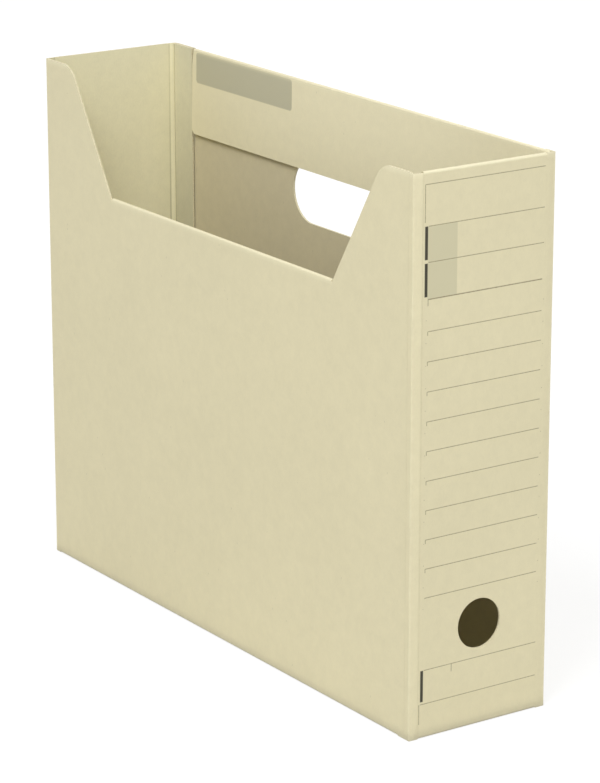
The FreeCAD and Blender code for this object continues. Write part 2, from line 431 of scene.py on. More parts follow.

# %% [markdown]
# ## The finishes
# All the board is a pale khaki. The outer face is calendered and slightly smooth, with a painted
# highlight on the crests of its folds. The inner face is rougher. Its tone is painted lighter on the
# rear wall and darker on the far wall, as painted light and shade, and on most walls it is painted
# darker towards the bottom, as painted shade deep in the box. One function builds the shared part
# of each finish: fibre, wear and a bump, with a place for print or painted shade.

# %% Colours and the shared board finish
board_colour = screen_colour(219, 211, 177)
inner_colour = screen_colour(217, 211, 176)
# painted light: the rear wall's inside is painted lighter than the other inner faces
painted_light_rear_colour = screen_colour(230, 224, 190)
# painted shade: the far wall's inside is painted darker and browner than the other inner faces
painted_shade_far_colour = screen_colour(217, 207, 175)
# painted highlight: the inside of the glued corner's leaning strip is painted lighter
painted_light_strip_colour = screen_colour(240, 234, 199)
worn_colour = screen_colour(233, 227, 198)
# painted highlight: the paler colour laid on the crests of the folds
painted_highlight_colour = screen_colour(240, 233, 202)
outer_face = dict(mottle=0.035, specks=0.05, wear=0.3, bump=0.5)
inner_face = dict(mottle=0.05, specks=0.1, wear=0.2, bump=0.7)
underside = dict(mottle=0.06, specks=0.12, wear=0.6, bump=0.8)
painted_light_strip_face = dict(mottle=0.04, specks=0.05, wear=0.2, bump=0.4)
wear_reach = 1.6 * mm
painted_shade_below, painted_shade_above = 0.64 * height, 0.9 * height


def new_finish(name):
    """An empty material. Gives it with its node tree and the place on the object."""
    material = bpy.data.materials.new(name)
    material.use_nodes = True
    tree = material.node_tree
    return material, tree, add_node(tree, "TexCoord").outputs["Object"]


def feed_shader(tree, colour, roughness, relief, bump, relief_depth, shine):
    """Feeds the shader, with a bump for the relief."""
    raised = add_node(tree, "Bump", dict(Strength=bump, Distance=relief_depth, Height=relief))
    for name, value in (("Base Color", colour), ("Roughness", roughness),
                        ("Specular IOR Level", shine), ("Normal", raised.outputs["Normal"])):
        feed(tree.nodes["Principled BSDF"], name, value)


def board_finish(name, colour, mottle, specks, wear, bump, print_or_painted_shade=None, crest_highlight=0.0, deep=1.0):
    """A board material. print_or_painted_shade lays ink, or the painted shade of a crease, on it, and deep
    is the brightness left at the bottom by a painted shade that darkens it downwards.
    """
    material, tree, place = new_finish(name)
    fibre = place_group(
        fibre_group, Position=place, Board_Colour=colour, Mottle=mottle, Speck_Share=specks)
    shown = fibre.outputs["Colour"]
    if print_or_painted_shade:
        shown = print_or_painted_shade(place, shown)
    worn = place_group(wear_group, Position=place, Reach=wear_reach, Strength=wear)
    shown = mixed(worn.outputs["Wear"], shown, worn_colour)
    # painted highlight: the crests of the folds are painted paler
    if crest_highlight:
        folds = place_group(crest_highlight_group, Position=place)
        shown = mixed(maths("MULTIPLY", folds.outputs["Highlight"], crest_highlight), shown, painted_highlight_colour)
    # painted shade: the colour is darkened towards the bottom of the box
    if deep < 1:
        up = axes(place)["Z"]
        shown = recoloured(shown, spread(up, painted_shade_below, painted_shade_above, deep, 1.0, "LINEAR"))
    feed_shader(tree, shown, fibre.outputs["Roughness"], fibre.outputs["Relief"], bump, 0.06 * mm, 0.3)
    print(name, "has", len(tree.nodes), "nodes")
    return material


# the outer board carries the painted highlight on its fold crests
outer_board = board_finish("outer_board", board_colour, **outer_face, crest_highlight=0.3)
# painted shade: these inner finishes darken towards the bottom of the box
inner_board = board_finish("inner_board", inner_colour, **inner_face, deep=0.84)
painted_light_rear_board = board_finish("painted_light_rear_board", painted_light_rear_colour, **inner_face)
painted_shade_far_board = board_finish("painted_shade_far_board", painted_shade_far_colour, **inner_face, deep=0.9)
bottom_board = board_finish("bottom_board", inner_colour, **underside)
painted_light_strip_board = board_finish("painted_light_strip_board", painted_light_strip_colour, **painted_light_strip_face)

# %% [markdown]
# ## The cut edge
# A cut through board shows thin layers of pulp, pressed and a little torn. Its layers run along
# the edge, whichever way that goes, so a noise that is the same in all directions and finer than
# the board is thick stands for them. It is a little paler and rougher than the faces.

# %% A finish for cut edges
edge_colour = screen_colour(222, 214, 182)
deep_layer_colour = screen_colour(196, 186, 150)
torn_colour = screen_colour(232, 226, 200)
cut_edge, edge_tree, edge_place = new_finish("cut_board_edge")
layers = noise(edge_place, 2600.0, 3.0, 0.7)
torn = noise(edge_place, 700.0, 2.0, 0.6)
layered = mixed(spread(layers, 0.35, 0.65, 0.0, 1.0), deep_layer_colour, edge_colour)
edge_shown = mixed(spread(torn, 0.4, 0.7, 0.0, 0.4), layered, torn_colour)
edge_roughness = spread(layers, 0.3, 0.7, 0.75, 0.92, "LINEAR")
edge_relief = maths("ADD", layers, torn)
feed_shader(edge_tree, edge_shown, edge_roughness, edge_relief, 0.8, 0.08 * mm, 0.2)
print(cut_edge.name, "has", len(edge_tree.nodes), "nodes")

# %% [markdown]
# ## The printed form on the spine
# The spine carries a plain ruled form: a heading field, two rows that each start with a dark bar and
# a tinted block, ten list lines, all but the last with a small hook, and a label box at the foot.
# The list lines repeat, so their height is wrapped with a modulo and one shape prints them all.

# %% The ruled form, laid out in millimetres
line_ink = screen_colour(140, 131, 102)
bar_ink = screen_colour(66, 63, 52)
block_ink = screen_colour(203, 197, 165)
thin = 0.34 * mm
ink_softness = 0.3 * mm
form_left, form_right = -33.0 * mm, 33.2 * mm
text_left, text_right = -31.0 * mm, 32.6 * mm
heading_top, heading_side = 259.2 * mm, 17 * mm
row_tops = [240.4 * mm, 224.1 * mm]
list_top, list_top_hook = 207.3 * mm, 3 * mm
list_first, list_step, list_count, list_hook = 192.6 * mm, 13.86 * mm, 10, 1.8 * mm
list_last = list_first - list_step * (list_count - 1)
label_top, label_bottom = 33.0 * mm, 16.6 * mm
label_tick, label_tick_tall = -15.5 * mm, 3.8 * mm
label_side, label_side_foot = -33.6 * mm, 7 * mm
bar_width, bar_gap, block_right = 1.6 * mm, 1.2 * mm, -15.3 * mm
dot_sides, dot_half = (-31.9 * mm, 33.6 * mm), 0.2 * mm


def shape_mask(across, up, left, right, low, high, rounding=0.0, softness=ink_softness):
    """The mask of one rectangle, given by its sides."""
    mark = place_group(
        mark_group, Across=across, Up=up, Rounding=rounding, Softness=softness,
        Middle_Across=(left + right) / 2, Middle_Up=(low + high) / 2,
        Half_Width=(right - left) / 2, Half_Height=(high - low) / 2)
    return mark.outputs["Mask"]


def union(masks):
    joined = masks[0]
    for other in masks[1:]:
        joined = maths("MAXIMUM", joined, other)
    return joined


def ruled_form(place, colour):
    """Ink for the spine's form, over the board's colour."""
    across, up = axes(place)["Y"], axes(place)["Z"]

    def rule(level, left=text_left, right=text_right, weight=thin, height_of=up):
        return shape_mask(across, height_of, left, right, level - weight / 2, level + weight / 2)

    def upright(side, low, high, height_of=up):
        return shape_mask(across, height_of, side - thin / 2, side + thin / 2, low, high)

    lines = [rule(heading_top, form_left, form_right)]
    lines += [upright(form_left, heading_top - heading_side, heading_top)]
    lines += [rule(top, text_left, form_right) for top in row_tops]
    lines += [rule(list_top, weight=1.5 * thin), upright(text_left, list_top - list_top_hook, list_top)]
    lines += [rule(label_top, text_left, form_right), rule(label_bottom, form_left, form_right)]
    lines += [upright(label_tick, label_top - label_tick_tall, label_top)]
    lines += [upright(label_side, label_side_foot, label_bottom)]

    # the list lines: heights are counted from the line below and wrapped to one step
    half_step = list_step / 2
    above_last = maths("SUBTRACT", up, list_last - half_step)
    wrapped = maths("FLOORED_MODULO", above_last, list_step)
    list_foot, list_head = list_last - half_step, list_first + half_step
    in_list = shape_mask(across, up, -1.0, 1.0, list_foot, list_head, softness=0.05 * mm)
    hooks = upright(text_left, half_step - list_hook, half_step, height_of=wrapped)
    hooks = maths("MULTIPLY", hooks, maths("GREATER_THAN", up, list_last - thin))
    listed = union([rule(half_step, height_of=wrapped), hooks])
    lines.append(maths("MULTIPLY", listed, in_list))

    # small register dots beside the list, four to three steps
    dot_step = list_step * 0.75
    wrapped_dots = maths("FLOORED_MODULO", maths("SUBTRACT", up, list_last), dot_step)
    dot_low, dot_high = dot_step / 2 - dot_half, dot_step / 2 + dot_half
    dots = [shape_mask(across, wrapped_dots, side - dot_half, side + dot_half,
                       dot_low, dot_high, dot_half) for side in dot_sides]
    faint_dots = maths("MULTIPLY", maths("MULTIPLY", union(dots), in_list), 0.7)
    lines.append(faint_dots)

    bars = [shape_mask(across, up, form_left, form_left + bar_width, low, high) for low, high in (
        (row_tops[1] + bar_gap, row_tops[0]), (list_top + bar_gap, row_tops[1] - bar_gap / 3),
        (label_bottom + bar_gap, label_top))]
    blocks = [shape_mask(across, up, form_left + bar_width, block_right, low, high)
              for low, high in ((row_tops[1], row_tops[0]), (list_top, row_tops[1]))]

    patchy = spread(noise(place, 900.0, 2.0, 0.6), 0.3, 0.7, 0.75, 1.0)
    colour = mixed(union(blocks), colour, block_ink)
    colour = mixed(maths("MULTIPLY", union(lines), patchy), colour, line_ink)
    return mixed(union(bars), colour, bar_ink)


spine_print = board_finish("printed_spine", board_colour, **outer_face, print_or_painted_shade=ruled_form)

# %% [markdown]
# ## The grey patch on the handle band
# Near its rear end the band has a smooth grey patch, as wide as a label and about as high as a
# third of the band. It is printed before folding, and ends just below the fold. The same rounded
# shape makes its mask. The band's board is painted paler than the other walls, as painted light.

# %% The band's grey patch
# painted light: the band's board is painted paler than the other walls
painted_light_band_colour = screen_colour(235, 227, 193)
patch_ink = screen_colour(190, 186, 160)
patch_left, patch_right = band_low.x + 4.0 * mm, -47.6 * mm
patch_low, patch_high = height - 17.2 * mm, height - 1.3 * mm
patch_rounding, patch_softness, patch_cover = 1.8 * mm, 0.6 * mm, 0.95


def grey_patch(place, colour):
    """Ink for the band's patch, over the board's colour."""
    at = axes(place)
    patch = shape_mask(at["X"], at["Z"], patch_left, patch_right, patch_low, patch_high,
                       patch_rounding, patch_softness)
    return mixed(maths("MULTIPLY", patch, patch_cover), colour, patch_ink)


band_print_and_painted_light = board_finish("band_with_patch", painted_light_band_colour, **outer_face, print_or_painted_shade=grey_patch, crest_highlight=0.45)

# %% [markdown]
# ## Helpers for modelling
# Board is a sheet, so each wall starts as a flat plane at its real place and size. It is cut with
# bisect, its folded edges are spun, and Solidify gives it the board's thickness. The helpers below
# do one such step each. A wall is described by the way it faces: along, out and up.

# %% Helpers that select, cut and place
fine = 0.02 * mm
Wall = namedtuple("Wall", "out along")


def facing(direction):
    """A wall's two unit vectors: the way it faces, and the way along it to the right."""
    out = Vector(direction)
    return Wall(out, Vector((0, 0, 1)).cross(out))


near, spine, far, rear = [facing(way) for way in ((0, -1, 0), (1, 0, 0), (0, 1, 0), (-1, 0, 0))]


def spot(wall, along, out, up):
    """A point of a wall, given along it, outwards from the box's middle line, and up."""
    return wall.along * along + wall.out * out + Vector((0, 0, up))


def deselect_all():
    if bpy.context.object and bpy.context.object.mode != "OBJECT":
        bpy.ops.object.mode_set(mode="OBJECT")
    bpy.ops.object.select_all(action="DESELECT")


def edit():
    bpy.ops.object.mode_set(mode="EDIT")


def done():
    bpy.ops.object.mode_set(mode="OBJECT")


def pick(kind, test):
    """In edit mode, selects the vertices, edges or faces that pass a test, and counts them."""
    bpy.ops.mesh.select_mode(type=kind)
    bpy.ops.mesh.select_all(action="DESELECT")
    shape = bmesh.from_edit_mesh(bpy.context.object.data)
    parts = {"VERT": shape.verts, "EDGE": shape.edges, "FACE": shape.faces}[kind]
    picked = [part for part in parts if test(part)]
    for part in picked:
        part.select = True
    shape.select_flush_mode()
    bmesh.update_edit_mesh(bpy.context.object.data)
    return len(picked)


def choose(kind, test):
    """Selects the vertices, edges or faces whose every corner's place passes a test."""
    def every_corner(part):
        corners = [part] if kind == "VERT" else part.verts
        return all(test(corner.co) for corner in corners)
    return pick(kind, every_corner)


def shift(test, way):
    """Moves the vertices whose place passes a test."""
    choose("VERT", test)
    bpy.ops.transform.translate(value=way)


def new_plane(name, middle, turn, size):
    """A plane with its turn, size and place in its mesh, left in edit mode."""
    deselect_all()
    bpy.ops.mesh.primitive_plane_add(size=1, location=middle, rotation=turn)
    sheet = bpy.context.object
    sheet.name = name
    sheet.data.name = name
    bpy.ops.object.transform_apply(location=False, rotation=True, scale=False)
    bpy.ops.transform.resize(value=size)
    bpy.ops.object.transform_apply(location=True, rotation=True, scale=True)
    edit()
    return sheet


def flat_sheet(name, wall, left, right, out, low, high):
    """An upright plane on one side of the box, facing outwards, left in edit mode."""
    middle = spot(wall, (left + right) / 2, out, (low + high) / 2)
    size = [abs(along) * (right - left) + abs(outwards) for along, outwards in zip(wall.along, wall.out)]
    size[2] = high - low
    return new_plane(name, middle, wall.out.to_track_quat("Z", "Y").to_euler(), size)


def cut_at(point, direction, throw_away=False):
    """Cuts the whole sheet at a plane. What lies ahead of the plane can be thrown away."""
    bpy.ops.mesh.select_all(action="SELECT")
    bpy.ops.mesh.bisect(plane_co=point, plane_no=Vector(direction).normalized(), clear_outer=throw_away)


def cut_window(wall, left, right, low, high):
    """Cuts a straight opening into a flat sheet."""
    for along in (left, right):
        cut_at(spot(wall, along, 0, 0), wall.along)
    for up in (low, high):
        cut_at((0, 0, up), (0, 0, 1))

    def inside(point):
        along = point.dot(wall.along)
        return left - fine < along < right + fine and low - fine < point.z < high + fine
    choose("FACE", inside)
    bpy.ops.mesh.delete(type="FACE")


def fold_over(wall, left, right, out, top, depth):
    """Folds the top edge between two places over to the inside: a half-round bend and a strip."""
    start = top - bend_radius

    def on_edge(point):
        along = point.dot(wall.along)
        return abs(point.z - start) < fine and left - fine < along < right + fine
    choose("EDGE", on_edge)
    centre = spot(wall, 0, out - bend_radius, start)
    bpy.ops.mesh.spin(steps=12, angle=math.pi, center=centre, axis=wall.along)
    bpy.ops.mesh.extrude_region_move(TRANSFORM_OT_translate={"value": (0, 0, bend_radius - depth)})


def turn_under(wall, out):
    """Rounds the foot of a whole wall: a quarter round that ends level under the board."""
    choose("EDGE", lambda point: point.z < foot_radius + fine)
    centre = spot(wall, 0, out - foot_radius, foot_radius)
    bpy.ops.mesh.spin(steps=8, angle=-math.radians(90), center=centre, axis=wall.along)


# %% [markdown]
# ## Helpers that finish a sheet
# A finished sheet has the board's thickness, a finish for its outer face, one for its inner face
# and one for its cut edges. Solidify fills these three slots. A cut edge of board is never razor
# sharp, so its borders get a tiny bevel, except where two pieces meet in a seam. A bevel can push
# a corner a hair's breadth past the box, so that is scaled back onto it. Weighted normals keep the
# wide faces flat beside the small round ones.

# %% Helpers that finish a sheet
finishes = [outer_board, inner_board, cut_edge]


def apply_modifier(kind, **settings):
    bpy.ops.object.modifier_add(type=kind)
    modifier = bpy.context.object.modifiers[-1]
    for name, value in settings.items():
        setattr(modifier, name, value)
    bpy.ops.object.modifier_apply(modifier=modifier.name)


def thicken(sheet, materials=finishes):
    """Gives an outer face its thickness, inwards. Leaves object mode."""
    bpy.ops.mesh.select_all(action="SELECT")
    bpy.ops.mesh.remove_doubles(threshold=0.01 * mm)
    done()
    for material in materials:
        sheet.data.materials.append(material)
    apply_modifier("SOLIDIFY", thickness=board, offset=-1, use_even_offset=True,
                   material_offset=1, material_offset_rim=2)


def soften_edges(on_seam, size=0.13 * mm):
    """Rounds the borders of the cut edges, but not those that lie on a seam."""
    def is_border(edge):
        sharp = len(edge.link_faces) == 2 and edge.calc_face_angle(0) >= math.radians(60)
        return sharp and not all(on_seam(corner.co) for corner in edge.verts)
    edit()
    pick("EDGE", is_border)
    bpy.ops.mesh.bevel(offset=size, segments=2, affect="EDGES", clamp_overlap=True)
    done()


def keep_in_box():
    """Flattens onto the CAD box what a bevel or a slanted border pushed a hair's breadth past it."""
    edit()
    for corner, outward in zip(cad_box, (-1, 1)):
        for axis in range(3):
            if choose("VERT", lambda point: outward * (point[axis] - corner[axis]) > 0.001 * mm):
                squash = [1, 1, 1]
                squash[axis] = 0
                bpy.ops.transform.resize(value=squash, center_override=corner)
    done()


def make_active(sheet):
    deselect_all()
    sheet.select_set(True)
    bpy.context.view_layer.objects.active = sheet


def finish_piece(sheet, body, *nodes, slot="board"):
    """Smooths a piece, hides the CAD parts that it replaces, and hangs it on its body if it has one."""
    make_active(sheet)
    keep_in_box()
    bpy.ops.object.shade_smooth_by_angle(angle=math.radians(38))
    apply_modifier("WEIGHTED_NORMAL", keep_sharp=True, weight=80)
    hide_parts(*nodes)
    if body:
        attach(sheet, body)
    print(sheet.name, len(sheet.data.polygons), "faces, replaces", nodes)


def paint_faces(sheet, material, painted_over, test):
    """Gives a finish of their own to the faces of one finish whose every corner passes a test."""
    sheet.data.materials.append(material)
    old = sheet.data.materials.find(painted_over.name)
    edit()

    def to_paint(face):
        return face.material_index == old and all(test(corner.co) for corner in face.verts)
    count = pick("FACE", to_paint)
    sheet.active_material_index = len(sheet.data.materials) - 1
    bpy.ops.object.material_slot_assign()
    done()
    print(sheet.name, "has", count, "faces of", material.name)


# %% [markdown]
# ## The near side
# This is the long wall with the cut-out that lets a hand reach the papers. Its plane spans the
# flat part between two upright corners. Bisect cuts the straight bottom and both slopes, a vertex
# bevel rounds the corners where the slopes meet the top edge, and the straight bottom of the
# cut-out is folded in as a hem. A strip along the floor is cut away, because the fold there is a
# piece of its own.

# %% Near side with its cut-out and hem
side_half = length / 2 - corner_radius - tail
end_half = lining_high.y
side_out, end_out = width / 2, length / 2
foot_top = foot_radius + tail
foot_left, foot_right = -side_half, flap_high.x
cutout_floor = hem_high.z
hem_end_gap = 0.6 * mm
half_bottom = hem_high.x + hem_end_gap
half_top = 134.5 * mm
cutout_rounding = 12 * mm
fold_start = cutout_floor - bend_radius
near_side = flat_sheet("near_side", near, -side_half, side_half, side_out, 0, height)
cut_window(near, foot_left, foot_right, 0, foot_top)
cut_window(near, -half_bottom, half_bottom, fold_start, height)
for side in (-1, 1):
    cut_at((side * hem_high.x, 0, 0), (1, 0, 0))
rise, run = height - cutout_floor, half_top - half_bottom
for side in (-1, 1):
    choose("FACE", lambda point: side * point.x > half_bottom - fine and point.z > fold_start - fine)
    bpy.ops.mesh.bisect(
        plane_co=(side * half_bottom, 0, cutout_floor), plane_no=(-side * rise, 0, run), clear_outer=True)
slope_turn = math.atan2(rise, run)
choose("VERT", lambda point: abs(abs(point.x) - half_top) < fine and point.z > height - fine)
bpy.ops.mesh.bevel(offset=cutout_rounding * math.tan(slope_turn / 2), segments=12, affect="VERTICES")
fold_over(near, -hem_high.x, hem_high.x, side_out, cutout_floor, hem_high.z - hem_low.z)
thicken(near_side)


def near_seam(point):
    at_corner = abs(abs(point.x) - side_half) < fine
    at_foot = abs(point.z - foot_top) < fine and point.x < foot_right + fine
    return at_corner or at_foot


soften_edges(near_seam)
finish_piece(near_side, "near_side", "near_side_panel", "cutout_hem")

# %% [markdown]
# ## Holes
# The spine has a round finger hole and the far side has a long hand hole. A hole is cut with the
# Boolean modifier: a cutter is modelled at the hole's place, taken out of the board, and deleted.
# The cutter is a block whose ends are bevelled round.

# %% A helper that cuts a hole
cutter_depth = 8 * board


def punch(sheet, wall, along, up, wide, tall, out):
    """Cuts a round or long hole through a thickened sheet, and gives its wall the cut edge's finish."""
    deselect_all()
    bpy.ops.mesh.primitive_cube_add(size=1, location=spot(wall, along, out, up))
    cutter = bpy.context.object
    size = wall.along * wide + wall.out * cutter_depth
    bpy.ops.transform.resize(value=(abs(size.x), abs(size.y), tall))
    bpy.ops.object.transform_apply(location=True, rotation=True, scale=True)
    edit()
    pick("EDGE", lambda edge: abs((edge.verts[1].co - edge.verts[0].co).normalized().dot(wall.out)) > 0.9)
    bpy.ops.mesh.bevel(offset=tall / 2, segments=20, affect="EDGES", clamp_overlap=True)
    bpy.ops.mesh.select_all(action="SELECT")
    bpy.ops.mesh.remove_doubles(threshold=0.01 * mm)
    bpy.ops.mesh.normals_make_consistent(inside=False)
    make_active(sheet)
    apply_modifier("BOOLEAN", operation="DIFFERENCE", object=cutter, solver="EXACT")
    bpy.data.objects.remove(cutter)
    edit()

    def in_hole(face):
        middle = face.calc_center_median()
        beside = abs(middle.dot(wall.along) - along) < wide / 2 + fine
        level = abs(middle.z - up) < tall / 2 + fine
        return beside and level and abs(face.normal.dot(wall.out)) < 0.3
    count = pick("FACE", in_hole)
    sheet.active_material_index = finishes.index(cut_edge)
    bpy.ops.object.material_slot_assign()
    done()
    print(sheet.name, "has a hole", round(wide / mm, 1), "by", round(tall / mm, 1), "mm of", count, "faces")


# %% [markdown]
# ## The spine
# The spine is the narrow wall at the front end, printed with the ruled form. Its top edge is folded
# in as a lining that makes the edge stiff. At the far side the lining runs on to the handle band.
# It is built as the near side was, and the round finger hole is punched near its foot.

# %% Spine with its lining and finger hole
finger_hole_diameter = 24 * mm
finger_hole_height = 49.5 * mm
lining_end = side_out - 2.5 * mm
spine_wall = flat_sheet("spine", spine, -end_half, end_half, end_out, foot_radius, height - bend_radius)
fold_over(spine, -end_half, end_half, end_out, height, lining_high.z - lining_low.z)
shift(lambda point: point.y > end_half - fine and point.x < end_out - fine, (0, lining_end - end_half, 0))
turn_under(spine, end_out)
thicken(spine_wall)
punch(spine_wall, spine, 0, finger_hole_height, finger_hole_diameter, finger_hole_diameter, end_out)


def spine_seam(point):
    return abs(abs(point.y) - end_half) < fine and point.x > end_out - board - fine


def on_spine_face(point):
    return point.x > end_out - fine and point.z < height - bend_radius + fine


soften_edges(spine_seam)
paint_faces(spine_wall, spine_print, outer_board, on_spine_face)
finish_piece(spine_wall, "spine", "spine_panel", "spine_lining")

# %% [markdown]
# ## The far side
# The far side is the long wall with the hand hole. A deep band at its top is folded down inside,
# which doubles the board where a hand lifts the box. The band stops short of the glue flap at the
# rear, where its upper end is cut back a little and its lower corner is chamfered, and it runs on
# to the spine's lining at the front. It stands off the wall below. The hole goes through the wall
# alone.

# %% Far side with its handle band and hand hole
hand_hole_length, hand_hole_tall = 96 * mm, 32 * mm
hand_hole_height = 209.3 * mm
band_chamfer = 2 * mm
band_stands_off = 0.6 * mm
band_front = end_out - 2.6 * mm
slit_foot = height - 8 * mm
slit_wide = 1.3 * mm
hinge_reach = (corner_radius - board) * (1 - diagonal) + board
glued_hinge = spot(far, end_out - hinge_reach, side_out - hinge_reach, 0)
raw_edge_gap = 0.6 * mm
raw_end = end_out - hinge_reach - raw_edge_gap
far_side = flat_sheet("far_side", far, -side_half, raw_end, side_out, 0, height)
cut_window(far, foot_left, foot_right, 0, foot_top)
cut_window(far, -band_high.x, -band_low.x, height - bend_radius, height)
fold_over(far, -band_high.x, -band_low.x, side_out, height, band_high.z - band_low.z)
choose("VERT", lambda point: abs(point.x - band_low.x) < fine and abs(point.z - band_low.z) < fine)
bpy.ops.mesh.bevel(offset=band_chamfer, segments=1, affect="VERTICES")
cut_at((0, 0, slit_foot), (0, 0, 1))


def in_band(point):
    return point.y < side_out - fine


def by_slit(point):
    return in_band(point) and abs(point.x - band_low.x) < fine and point.z > slit_foot + fine


def low_in_band(point):
    return in_band(point) and point.z < band_low.z + band_chamfer + fine


shift(by_slit, (slit_wide, 0, 0))
shift(low_in_band, (0, -band_stands_off, 0))
shift(lambda point: in_band(point) and point.x > band_high.x - fine, (band_front - band_high.x, 0, 0))
# the far wall's inside takes the finish painted darker as painted shade
thicken(far_side, [outer_board, painted_shade_far_board, cut_edge])
wall_only = side_out - bend_radius + cutter_depth / 2
punch(far_side, far, 0, hand_hole_height, hand_hole_length, hand_hole_tall, wall_only)


def far_seam(point):
    at_foot = abs(point.z - foot_top) < fine and point.x > -foot_right - fine
    return abs(point.x - side_half) < fine or at_foot


soften_edges(far_seam)
paint_faces(far_side, band_print_and_painted_light, outer_board, lambda point: point.y < side_out - 2 * bend_radius + fine)
finish_piece(far_side, "far_side", "far_side_panel", "handle_band")

# %% [markdown]
# ## The rear end
# The rear end is the spine's opposite: a plain narrow wall with no fold at its top.

# %% Rear end
rear_end = flat_sheet("rear_end", rear, -end_half, end_half, end_out, foot_radius, height)
turn_under(rear, end_out)
# the rear end's inside takes the finish painted lighter as painted light
thicken(rear_end, [outer_board, painted_light_rear_board, cut_edge])
soften_edges(lambda point: abs(abs(point.y) - end_half) < fine)
finish_piece(rear_end, "rear_end", "rear_end_panel")

# %% [markdown]
# ## The glue flap
# The blank's last strip goes on from the rear end round the corner and is glued to the inside of
# the far side. It shows as a narrow strip beside the handle band, with a slanted lower end. Its
# free border stands off a little higher up, but lies flat where a bottom flap folds up past it.
# A dark line is painted along the crease where it leaves the rear end, as painted shade, and the
# strip is painted darker towards the bottom, also as painted shade.

# %% Glue flap
glue_low, glue_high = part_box("glue_flap")
glue_slant = 5 * mm
inside_far = facing((0, -1, 0))
glue_left = glued_hinge.x + 0.25 * mm
glue_top = height - 0.1 * mm
glue_border = 6 * mm
glue_stands_off = 0.4 * mm
glue_flat_to, glue_free_from = height * 0.3, height * 0.4
# painted shade: a dark line along the crease at the rear corner
crease_shade_left, crease_shade_right = glue_left - 1 * mm, glue_left + 0.4 * mm
glue_colour = screen_colour(223, 218, 188)
painted_crease_shade_colour = screen_colour(186, 179, 150)


def painted_crease_shade(place, colour):
    """A painted shade along the crease, over the board's colour."""
    at = axes(place)
    crease_shade = shape_mask(at["X"], at["Z"], crease_shade_left, crease_shade_right, -1.0, 1.0, softness=0.4 * mm)
    return mixed(crease_shade, colour, painted_crease_shade_colour)


# painted shade: the glue flap is darkened towards the bottom and along its crease
glue_board = board_finish("glue_flap_board", glue_colour, **inner_face, print_or_painted_shade=painted_crease_shade, deep=0.8)
glue_strip = flat_sheet("glue_strip", inside_far, glue_left, glue_high.x, -glue_low.y, glue_low.z, glue_top)
cut_at((glue_left, 0, glue_low.z), (glue_slant, 0, glue_left - glue_high.x), throw_away=True)
cut_at((glue_high.x - glue_border, 0, 0), (1, 0, 0))
for level in (glue_flat_to, glue_free_from):
    cut_at((0, 0, level), (0, 0, 1))


def on_free_border(point):
    return point.x > glue_high.x - fine and point.z > glue_free_from - fine


shift(on_free_border, (0, -glue_stands_off, 0))
thicken(glue_strip, [glue_board, inner_board, cut_edge])
soften_edges(lambda point: point.y > glue_high.y - fine)
finish_piece(glue_strip, "far_side", "glue_flap")

# %% [markdown]
# ## The upright corners
# Between two walls the board goes round a corner. The end walls are scored twice at each side: a
# tight crease at the corner itself, and a soft one a few millimetres in. The strip between them
# leans inwards a little and catches the light, but at the floor the corner stands almost square.
# Three corners are built this way, each as a piece of its own that rides on no body.

# %% Upright corners that bend
crease_round = 0.25 * mm
soft_radius = 2.5 * board
strip_wide = 4.2 * mm
point_height = 9 * mm
corner_drop = 0.5 * mm
foot_spread = 1.6 * mm
foot_square = 0.85


def curl(centre, angle, side, steps):
    """Goes on with the selected border round an upright axis, towards the inside of the box."""
    bpy.ops.mesh.spin(steps=steps, angle=-side * angle, center=centre, axis=(0, 0, 1))


def run_on(way):
    """Goes on with the selected border in a straight line."""
    bpy.ops.mesh.extrude_region_move(TRANSFORM_OT_translate={"value": way})


def bent_corner(name, wall, side, lean, low_lean, drop=0.0):
    """The corner at a long wall's right end, or at its left end with side -1."""
    onward = wall.along * side
    tilt = math.atan2(lean, strip_wide)
    second_reach = soft_radius * math.tan(tilt / 2)
    along_strip = onward * math.sin(tilt) - wall.out * math.cos(tilt)
    crease_at = end_out - lean
    first = onward * crease_at + wall.out * side_out
    second = onward * end_out + wall.out * (side_out - strip_wide)
    left, right = sorted((side * side_half, side * crease_at))
    strip = flat_sheet(name, wall, left, right, side_out, 0, height)
    choose("EDGE", lambda point: point.dot(onward) > crease_at - fine)
    run_on(along_strip * ((second - first).length - second_reach))
    curl(second - wall.out * second_reach - onward * soft_radius, tilt, side, 3)
    run_on(-wall.out * (side_out - strip_wide - second_reach - end_half))

    # near the floor the strip leans less, and its soft border runs towards the corner
    cut_at((0, 0, point_height), (0, 0, 1))

    def on_crease(point):
        return point.dot(onward) > crease_at - fine and point.dot(wall.out) > side_out - fine

    def in_second(point):
        return end_half + fine < point.dot(wall.out) < side_out - strip_wide + second_reach + fine
    shift(lambda point: point.z < point_height + fine and on_crease(point), onward * (lean - low_lean))
    shift(lambda point: point.z < fine and on_crease(point), onward * low_lean * foot_square)
    shift(lambda point: point.z < fine and in_second(point), wall.out * foot_spread)
    if drop:
        shift(lambda point: point.z > height - fine and point.dot(onward) > crease_at - fine, (0, 0, -drop))
    thicken(strip)
    edit()
    choose("EDGE", on_crease)
    bpy.ops.mesh.bevel(offset=crease_round, segments=3, affect="EDGES")
    done()
    soften_edges(lambda point: fine < point.z < height - drop - fine)
    finish_piece(strip, None)
    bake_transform(strip)


bent_corner("near_spine_corner", near, 1, 0.9 * mm, 0.8 * mm, corner_drop)
bent_corner("spine_far_corner", far, -1, 0.3 * mm, 0.2 * mm)
bent_corner("rear_near_corner", near, -1, 0.3 * mm, 0.2 * mm)

# %% [markdown]
# ## The glued corner
# At the fourth corner the rear end's strip turns inside the far side and becomes the glue flap, so
# from behind one sees the raw edge of the far side beside a tight turn. The turn is a tube round the
# line on which the corner folds. It goes on out of sight inside the wall, so that when the box
# is pressed flat and this corner closes up, the tube rolls out and no gap opens.

